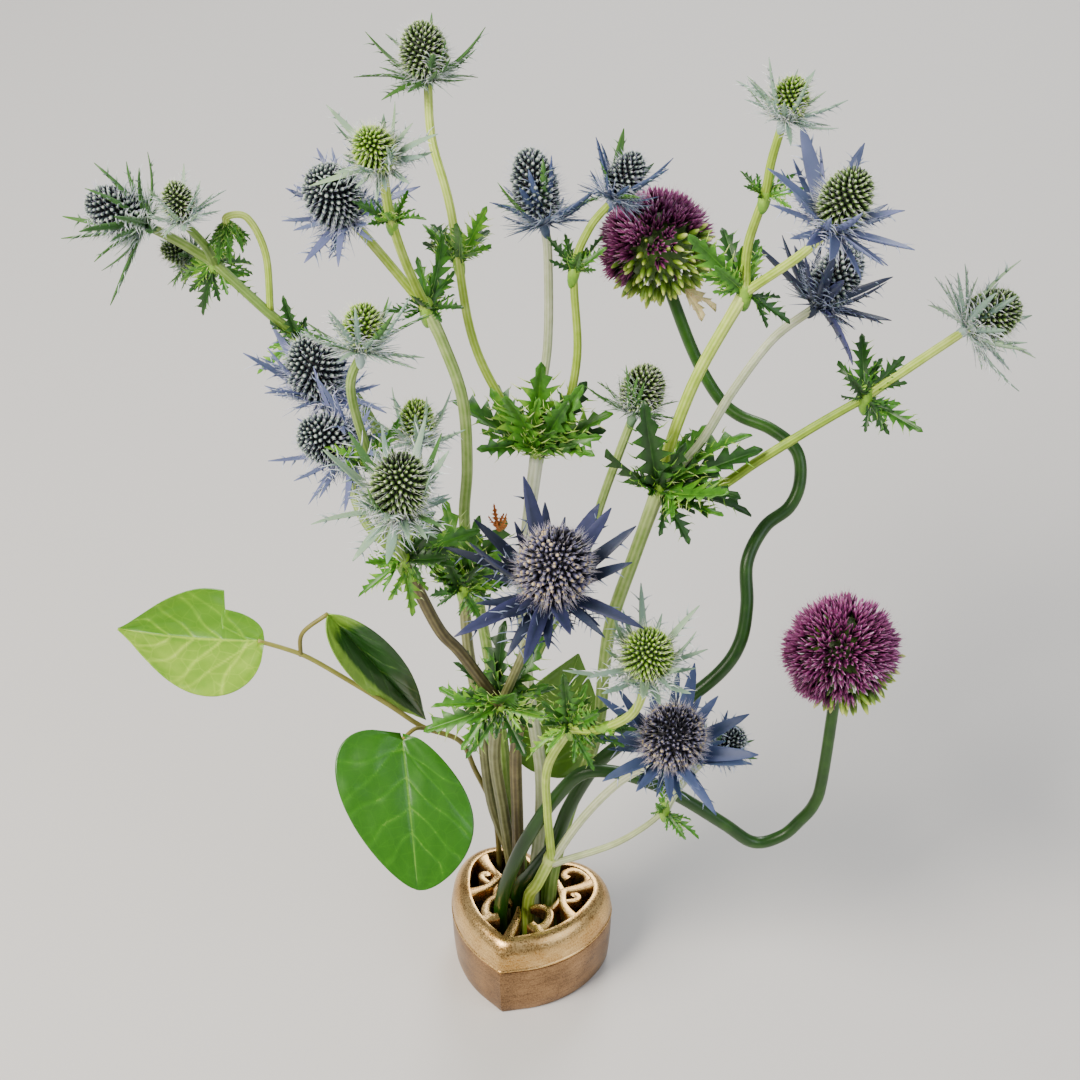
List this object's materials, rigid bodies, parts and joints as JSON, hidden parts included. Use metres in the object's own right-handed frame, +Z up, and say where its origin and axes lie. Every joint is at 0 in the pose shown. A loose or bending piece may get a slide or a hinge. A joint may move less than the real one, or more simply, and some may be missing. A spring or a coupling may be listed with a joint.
{
  "type": "ikebana arrangement",
  "caption": "Free-standing ikebana arrangement of sea holly, drumstick alliums and a leafy vine in a small heart-shaped brass vase with an openwork lid.",
  "frame": {"origin": "middle of the vase's flat foot, on the surface it stands on", "axes": "+Z up, -Y towards the front, where the point of the heart is, +X to the right seen from the front"},
  "size_m": [0.2429, 0.1441, 0.287],
  "materials": {
    "vase_body_brass": "cast, brown patina, fine-grained satin",
    "vase_lid_brass": "brushed satin gold",
    "sea_holly_flower": "matte, dusty blue-green with pale bud tips",
    "sea_holly_leaf": "satin green leaf with pale ribs",
    "sea_holly_stem": "ridged, olive to yellow-green",
    "allium_flower": "matte purple florets over green buds",
    "allium_stem": "smooth, waxy dark green",
    "vine_leaf": "satin green leaf with pale veins",
    "vine_stem": "thin, wiry, brown to yellow-green"
  },
  "bodies": {
    "root": {"allium_head_high": "allium_flower", "allium_head_low": "allium_flower", "allium_stem_high": "allium_stem", "allium_stem_low": "allium_stem", "branch_far_left": "sea_holly_stem", "branch_far_right": "sea_holly_stem", "branch_high_right": "sea_holly_stem", "branch_left": "sea_holly_stem", "flower_01": "sea_holly_flower", "flower_02": "sea_holly_flower", "flower_03": "sea_holly_flower", "flower_04": "sea_holly_flower", "flower_05": "sea_holly_flower", "flower_06": "sea_holly_flower", "flower_07": "sea_holly_flower", "flower_08": "sea_holly_flower", "flower_09": "sea_holly_flower", "flower_10": "sea_holly_flower", "flower_11": "sea_holly_flower", "flower_12": "sea_holly_flower", "flower_13": "sea_holly_flower", "flower_14": "sea_holly_flower", "flower_15": "sea_holly_flower", "flower_16": "sea_holly_flower", "flower_17": "sea_holly_flower", "flower_18": "sea_holly_flower", "flower_19": "sea_holly_flower", "flower_20": "sea_holly_flower", "flower_21": "sea_holly_flower", "flower_22": "sea_holly_flower", "leaf_whorl_far_left": "sea_holly_leaf", "leaf_whorl_far_right": "sea_holly_leaf", "leaf_whorl_front": "sea_holly_leaf", "leaf_whorl_front_right": "sea_holly_leaf", "leaf_whorl_high_left": "sea_holly_leaf", "leaf_whorl_high_right": "sea_holly_leaf", "leaf_whorl_left": "sea_holly_leaf", "leaf_whorl_low": "sea_holly_leaf", "leaf_whorl_middle": "sea_holly_leaf", "leaf_whorl_middle_left": "sea_holly_leaf", "leaf_whorl_right": "sea_holly_leaf", "nodding_bud": "sea_holly_leaf", "stem_back_left": "sea_holly_stem", "stem_front": "sea_holly_stem", "stem_front_fork": "sea_holly_stem", "stem_high_left": "sea_holly_stem", "stem_low_branch": "sea_holly_stem", "stem_low_left": "sea_holly_stem", "stem_low_right": "sea_holly_stem", "stem_middle": "sea_holly_stem", "stem_right": "sea_holly_stem", "vase_body": "vase_body_brass", "vase_lid": "vase_lid_brass", "vine_leaf_back": "vine_leaf", "vine_leaf_end": "vine_leaf", "vine_leaf_folded": "vine_leaf", "vine_leaf_low": "vine_leaf", "vine_stalk_back": "vine_stem", "vine_stem": "vine_stem"}
  },
  "joints": []
}
